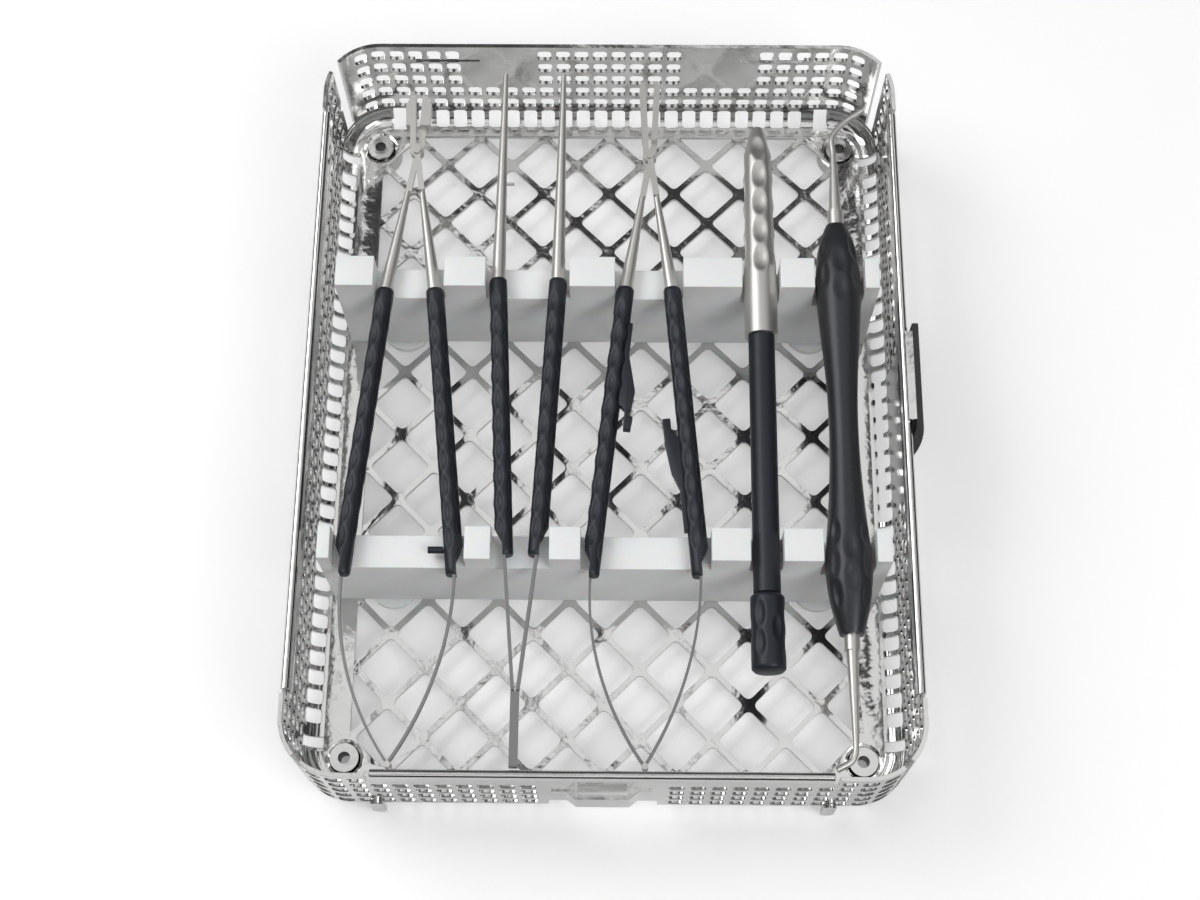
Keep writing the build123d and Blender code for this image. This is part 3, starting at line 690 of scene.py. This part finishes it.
def corner_dish(side_x, side_y):
    """Quarter of a rounded dish that joins the bends of two walls."""
    bpy.ops.mesh.primitive_grid_add(x_subdivisions=14, y_subdivisions=7, size=1)
    dish = bpy.context.object
    for vertex in dish.data.vertices:
        heading = (vertex.co.x + 0.5) * pi / 2
        lift = (vertex.co.y + 0.5) * dish_sweep
        reach = corner_middle - bend_middle + bend_middle * sin(lift)
        vertex.co = (
            side_x * (straight_x + reach * sin(heading)),
            side_y * (straight_y + reach * cos(heading)),
            foot_level + sheet / 2 + bend_middle * (1 - cos(lift)),
        )
    return dish


def build_floor():
    """Floor sheet with its diagonal lattice, pressed corner dishes and rivet bosses."""
    edge = sizes().sheet_edge
    plate = floor_plate()
    cutters = [lattice_field()]
    places = rivet_centres()
    for x, y in places:
        bpy.ops.mesh.primitive_cylinder_add(
            vertices=around_boss, radius=boss_radius, depth=6 * sheet, location=(x, y, deck)
        )
        bpy.ops.object.transform_apply(location=True, rotation=False, scale=False)
        cutters.append(bpy.context.object)
    cut(plate, cutters)
    shells = [spun(x, y, deck, boss_section, around_boss) for x, y in places]
    round_edges(plate, edge * 2)
    piece = joined("floor_sheet", [plate, *shells])
    smooth(piece)
    finish_piece(piece, "tray", "tray_steel", finish("bar_steel"), "floor_grid")

    dishes = joined("corner_dishes", [corner_dish(x, y) for x in (-1, 1) for y in (-1, 1)])
    modify(dishes, "SOLIDIFY", thickness=sheet, offset=0)
    round_edges(dishes, edge)
    finish_piece(dishes, "tray", "tray_steel", finish("basket_steel"))


def rivet_centres():
    """Plan places of the four rivets, from the node's own box and the radius of a head."""
    low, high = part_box("rivets")
    return [
        (x, y)
        for x in (low.x + rivet_head, high.x - rivet_head)
        for y in (low.y + rivet_head, high.y - rivet_head)
    ]


def spun(x, y, level, profile, steps):
    """Closed ring turned about a vertical axis from (radius, height) points in millimetres."""
    bpy.ops.mesh.primitive_circle_add(vertices=len(profile), radius=1)
    section = bpy.context.object
    for vertex, (radius, height) in zip(section.data.vertices, profile):
        vertex.co = (x + radius * MM, y, level + height * MM)
    edit(
        section,
        bpy.ops.mesh.spin,
        edges=True,
        steps=steps,
        angle=2 * pi,
        center=(x, y, level),
        axis=(0, 0, 1),
    )
    weld(section)
    return section


def openings(name):
    """Cutters for the lid slots, the keeper's window or the latch's slot of a wall."""
    if name == "rear":
        return [
            block(
                (place - lid_slot_half, wall_y - through, lid_slot_low),
                (place + lid_slot_half, wall_y + through, lid_slot_high),
            )
            for place in (-lid_slot_place, lid_slot_place)
        ]
    if name == "front":
        return [block((-window_half, -wall_y - through, 0), (window_half, window_depth - wall_y, window_top))]
    if name == "right":
        return [
            block(
                (wall_x - latch_slot_depth, latch_slot_front, latch_slot_low),
                (wall_x + through, latch_slot_rear, latch_slot_high),
            )
        ]
    return []


def build_walls():
    """Four pressed walls and the folded hems, with the CAD nodes that each one stands for."""
    replaced = {
        "rear": ("rear_wall", "rear_left_corner", "rear_right_corner"),
        "front": ("front_wall", "front_left_corner", "front_right_corner"),
        "left": ("left_wall", "floor_bends"),
        "right": ("right_wall",),
    }
    for name in WALLS:
        piece = wall_sheet(name)
        cutters = openings(name)
        if cutters:
            cut(piece, cutters)
        round_edges(piece, sizes().sheet_edge, 1, 50)
        finish_piece(piece, "tray", "tray_steel", finish("basket_steel"), *replaced[name])
    piece = joined("folded_hems", [hem(name, half) for name, half in hem_halves.items()])
    modify(piece, "SOLIDIFY", thickness=hem_thickness, offset=0)
    round_edges(piece, hem_edge, 1, 60)
    finish_piece(piece, "tray", "tray_steel", finish("basket_steel"), "rim_hems")


def hem(name, half):
    """Sheet folded over along the top of one wall."""
    wall = WALLS[name]
    reach = reach_of(name)[1]
    bpy.ops.mesh.primitive_grid_add(x_subdivisions=hem_columns, y_subdivisions=fold_steps + 2, size=1)
    strip = bpy.context.object
    for vertex in strip.data.vertices:
        step = round((vertex.co.y + 0.5) * (fold_steps + 2)) - 1
        turn = pi * min(max(step, 0), fold_steps) / fold_steps
        depth = hem_setback - fold_radius * cos(turn)
        height = rim - hem_setback + fold_radius * sin(turn)
        if step in (-1, fold_steps + 1):
            height = hem_foot
        run = vertex.co.x * 2 * half
        vertex.co = wall.along * run + wall.out * (reach - depth) + Vector((0, 0, height))
    return strip


def lathe(name, start, end, profile, around, along, dimple=None, side_limits=None):
    """Turned piece between two points, from its radius at each place, with dimples and flats sunk into it."""
    bpy.ops.mesh.primitive_grid_add(x_subdivisions=around, y_subdivisions=along, size=1)
    piece = bpy.context.object
    piece.name = name
    start = Vector(start)
    axis = Vector(end) - start
    length = axis.length
    axis.normalize()
    across = axis.cross(Vector((0, 0, 1))).normalized()
    up = across.cross(axis)
    for vertex in piece.data.vertices:
        heading = (vertex.co.x + 0.5) * 2 * pi
        share = vertex.co.y + 0.5
        radius = profile(share * length)
        if dimple:
            radius -= dimple(heading, share * length, radius)
        sideways = radius * cos(heading)
        if side_limits:
            low, high = side_limits(share * length)
            sideways = min(max(sideways, low), high)
        vertex.co = start + axis * share * length + across * sideways + up * radius * sin(heading)
    edit(piece, bpy.ops.mesh.remove_doubles, threshold=lathe_touching)
    edit(piece, bpy.ops.mesh.fill_holes, sides=0)
    edit(piece, bpy.ops.mesh.normals_make_consistent, inside=False)
    smooth(piece, 50)
    return piece


def oval_dimples(rows, pitch, start, end, width, length, depth):
    """Staggered rows of oval hollows between two stations of a turned piece."""

    def sink(heading, place, radius):
        """Depth of the hollow at a heading, in radians, and a place along the piece."""
        if place < start or place > end:
            return 0
        deepest = 0
        for row in range(rows):
            turn = 2 * pi * row / rows
            across = ((heading - turn + pi) % (2 * pi) - pi) * radius
            shift = pitch / 2 if row % 2 else 0
            along = (place - start - shift + pitch / 2) % pitch - pitch / 2
            centre = place - along
            if centre - length / 2 < start or centre + length / 2 > end:
                continue
            distance = hypot(across / (width / 2), along / (length / 2))
            if distance < 1:
                deepest = max(deepest, depth * (1 - distance * distance))
        return deepest

    return sink


def node_ends(node):
    """Ends of a node that lies along Y at the instruments' height, from its vertices."""
    points = [vertex.co for vertex in nodes[node].data.vertices]
    low = min(point.y for point in points)
    high = max(point.y for point in points)
    margin = end_share * (high - low)
    front = [point for point in points if point.y < low + margin]
    rear = [point for point in points if point.y > high - margin]
    ends = []
    for group in (rear, front):
        xs = [point.x for point in group]
        ys = [point.y for point in group]
        ends.append(((min(xs) + max(xs)) / 2, (min(ys) + max(ys)) / 2, axis_z))
    return ends


def dimpled_grip(tool, side):
    """One black grip: a round bar with flat sides, dimples and a tab at its tail."""
    node = f"{tool}_{side}_grip"
    rear, front = node_ends(node)
    length = (Vector(rear) - Vector(front)).length
    last = length - grip_plain_end
    depth = sizes().dimple_depth
    sink = oval_dimples(
        dimple_rows, dimple_pitch, grip_plain_end, last, dimple_width, dimple_length, depth
    )

    def profile(place):
        """Radius at a distance from the rear end, smaller at both ends."""
        edge = min(place, length - place)
        return grip_radius - grip_end_drop * exp(-edge / grip_end_run)

    def side_limits(place):
        """Flat sides at a distance from the rear end, the outer one slanting to the tab."""
        oblique = (place - length + tab_length) / tab_run
        outer = -grip_radius + tab_cut * min(max(oblique, 0), 1)
        return (outer, grip_flat) if side == "right" else (-grip_flat, -outer)

    piece = lathe(f"{tool}_{side}_dimpled_grip", rear, front, profile, *grip_steps, sink, side_limits)
    finish_piece(piece, f"{tool}_{side}", "grip_black", finish("grip_black"), node)


def build_grips():
    """Six dimpled black grips."""
    for tool in ("holder", "forceps", "scissors"):
        for side in ("left", "right"):
            dimpled_grip(tool, side)


def turned_outline(node):
    """Rear and front end of a turned CAD node, and its radius at a distance from the rear end."""
    low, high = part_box(node)
    middle = (low.x + high.x) / 2
    stations = {}
    for vertex in nodes[node].data.vertices:
        place = round(high.y - vertex.co.y, 5)
        radius = hypot(vertex.co.x - middle, vertex.co.z - axis_z)
        stations[place] = max(stations.get(place, 0), radius)
    widest = max(stations.values())
    ends = (min(stations), max(stations))
    places = sorted(place for place in stations if stations[place] > outer_share * widest or place in ends)

    def radius_at(place):
        """Radius between the two nearest stations."""
        after = next((station for station in places if station >= place), places[-1])
        before = next((station for station in reversed(places) if station <= place), places[0])
        if after == before:
            return stations[after]
        share = (place - before) / (after - before)
        return stations[before] + (stations[after] - stations[before]) * share

    return (middle, high.y, axis_z), (middle, low.y, axis_z), radius_at


# Turned pieces: the node and its body, slot and finish, then each group of dimples as rows, pitch, start,
# end, width and length in millimetres, and the depth as a share of a finger dimple
TURNED = {
    "scalloped_head": (
        "blade_head", "blade_handle", "instrument_steel", "instrument_steel",
        ((4, 7.4, 3, 42, 3.6, 6.8, 1.5),),
    ),
    "dimpled_knob": (
        "blade_knob", "blade_knob", "grip_black", "grip_black",
        ((6, 6.6, 1.5, 16, 2.6, 6, 1.1),),
    ),
    "dimpled_hook_grip": (
        "hook_grip", "hook", "hook_dark", "hook_grey",
        ((8, 7, 4, 24, 2.7, 6.6, 1.1), (8, 7, 74, 96, 2.7, 6.6, 1.1)),
    ),
}


def turned_piece(name, node, body, slot_name, look, groups):
    """One turned piece over its CAD node, with its groups of dimples."""
    deep = sizes().dimple_depth
    hollows = [
        oval_dimples(rows, *[value * MM for value in measures], share * deep)
        for rows, *measures, share in groups
    ]
    rear, front, radius_at = turned_outline(node)

    def sink(heading, place, radius):
        """Depth of the deepest hollow at a heading and a place."""
        return max(hollow(heading, place, radius) for hollow in hollows)

    steps = int((rear[1] - front[1]) / turned_step)
    piece = lathe(name, rear, front, radius_at, around_turned, steps, sink)
    finish_piece(piece, body, slot_name, finish(look), node)


def build_turned():
    """Dimpled head and knob of the blade handle, and the hook's grip."""
    for name, description in TURNED.items():
        turned_piece(name, *description)


# Outlines of the catch leaves as (distance from the grip's rear end, offset inwards) in millimetres
CATCHES = {
    "left": (
        (9.0, 1.5), (9.0, 2.7), (17.0, 2.7), (25.7, 5.0), (30.8, 4.6), (30.8, 4.0), (32.2, 4.0),
        (32.2, 5.2), (35.5, 5.0), (35.5, 3.3), (30.8, 3.2), (29.5, 1.5),
    ),
    "right": (
        (60.0, 1.5), (60.0, 2.7), (50.0, 2.7), (46.0, 4.2), (39.0, 5.1), (32.8, 5.2),
        (32.8, 3.4), (36.0, 3.4), (38.0, 1.5),
    ),
}


def build_catches():
    """Black catch leaf on the inner side of each scissors grip."""
    for side, outline in CATCHES.items():
        rear, front = [Vector(end) for end in node_ends(f"scissors_{side}_grip")]
        axis = (front - rear).normalized()
        inward = axis.cross(Vector((0, 0, 1))) * (-1 if side == "left" else 1)
        bpy.ops.mesh.primitive_circle_add(vertices=len(outline), radius=1, fill_type="NGON")
        piece = bpy.context.object
        piece.name = f"scissors_{side}_catch_leaf"
        for vertex, (along, offset) in zip(piece.data.vertices, outline):
            place = rear + axis * along * MM + inward * offset * MM
            vertex.co = place - Vector((0, 0, catch_thickness / 2))
        raised = {"value": (0, 0, catch_thickness)}
        edit(piece, bpy.ops.mesh.extrude_region_move, TRANSFORM_OT_translate=raised)
        edit(piece, bpy.ops.mesh.normals_make_consistent, inside=False)
        round_edges(piece, catch_edge)
        look = finish("grip_black")
        finish_piece(piece, f"scissors_{side}", "grip_black", look, f"scissors_{side}_catch")


def build_racks():
    """Two moulded combs in their CAD form, with rounded edges."""
    for node in ("rear_rack", "front_rack"):
        piece = bpy.data.objects.new(f"{node}_finished", nodes[node].data.copy())
        bpy.context.scene.collection.objects.link(piece)
        edit(piece, bpy.ops.mesh.remove_doubles, threshold=rack_touching)
        edit(piece, bpy.ops.mesh.dissolve_limited, angle_limit=radians(0.5))
        round_edges(piece, rack_edge, 3)
        finish_piece(piece, "tray", "rack_plastic", finish("moulded_white"), node)


# Nodes that keep their CAD form, by finish; every other one that is seen is instrument steel
KEPT = {
    "basket_steel": (
        "front_keeper", "front_lugs", "feet", "rivets", "latch_ears", "latch_pin", "latch_lever",
    ),
    "moulded_white": ("rear_rack_plugs", "front_rack_plugs"),
    "latch_black": ("latch_grip",),
    "grip_black": ("blade_rod", "holder_stop_peg"),
    "spring_steel": (
        "holder_left_spring", "holder_right_spring", "scissors_left_spring", "scissors_right_spring",
        "forceps_left_leg", "forceps_right_leg", "forceps_tail",
    ),
}


def build_rest():
    """Finishes of the nodes that keep their CAD form."""
    looks = {node: name for name, members in KEPT.items() for node in members}
    for node, holder in nodes.items():
        if node in looks or not holder.hide_render:
            holder.data.materials.clear()
            holder.data.materials.append(finish(looks.get(node, "instrument_steel")))


class TRAY_OT_stage(bpy.types.Operator):
    """Add the pale floor, the soft light and the camera"""

    bl_idname = "tray.stage"
    bl_label = "Stage"

    def execute(self, context):
        build_stage()
        return {"FINISHED"}


class TRAY_OT_floor(bpy.types.Operator):
    """Model the floor sheet with its lattice, corner dishes and bosses"""

    bl_idname = "tray.floor"
    bl_label = "Floor"

    def execute(self, context):
        build_floor()
        return {"FINISHED"}


class TRAY_OT_walls(bpy.types.Operator):
    """Model the four perforated walls and the folded hems"""

    bl_idname = "tray.walls"
    bl_label = "Walls"

    def execute(self, context):
        build_walls()
        return {"FINISHED"}


class TRAY_OT_racks(bpy.types.Operator):
    """Model the two moulded racks"""

    bl_idname = "tray.racks"
    bl_label = "Racks"

    def execute(self, context):
        build_racks()
        return {"FINISHED"}


class TRAY_OT_grips(bpy.types.Operator):
    """Model the six dimpled grips and the two catches"""

    bl_idname = "tray.grips"
    bl_label = "Grips"

    def execute(self, context):
        build_grips()
        build_catches()
        return {"FINISHED"}


class TRAY_OT_turned(bpy.types.Operator):
    """Model the dimpled head, knob and hook grip"""

    bl_idname = "tray.turned"
    bl_label = "Turned handles"

    def execute(self, context):
        build_turned()
        return {"FINISHED"}


class TRAY_OT_rest(bpy.types.Operator):
    """Finish the nodes that keep their own form"""

    bl_idname = "tray.rest"
    bl_label = "Other finishes"

    def execute(self, context):
        build_rest()
        return {"FINISHED"}


class TRAY_PT_panel(bpy.types.Panel):
    """Steps of the tray, in the order in which they are made"""

    bl_idname = "TRAY_PT_panel"
    bl_label = "Instrument tray"
    bl_space_type = "VIEW_3D"
    bl_region_type = "UI"
    bl_category = "Tray"

    def draw(self, context):
        for operator in OPERATORS:
            self.layout.operator(operator.bl_idname)


OPERATORS = (
    TRAY_OT_stage,
    TRAY_OT_floor,
    TRAY_OT_walls,
    TRAY_OT_racks,
    TRAY_OT_grips,
    TRAY_OT_turned,
    TRAY_OT_rest,
)
CLASSES = (TraySizes, TrayColours, *OPERATORS, TRAY_PT_panel)


def register():
    """Register the settings, the steps and the panel."""
    for item in CLASSES:
        bpy.utils.register_class(item)
    bpy.types.Scene.tray_sizes = PointerProperty(type=TraySizes)
    bpy.types.Scene.tray_colours = PointerProperty(type=TrayColours)


def unregister():
    """Take the settings, the steps and the panel away again."""
    del bpy.types.Scene.tray_colours
    del bpy.types.Scene.tray_sizes
    for item in reversed(CLASSES):
        bpy.utils.unregister_class(item)


def main():
    """Make every piece in order."""
    register()
    bpy.ops.object.select_all(action="DESELECT")
    bpy.ops.tray.stage()
    bpy.ops.tray.floor()
    bpy.ops.tray.walls()
    bpy.ops.tray.racks()
    bpy.ops.tray.grips()
    bpy.ops.tray.turned()
    bpy.ops.tray.rest()


if __name__ == "__main__":
    main()
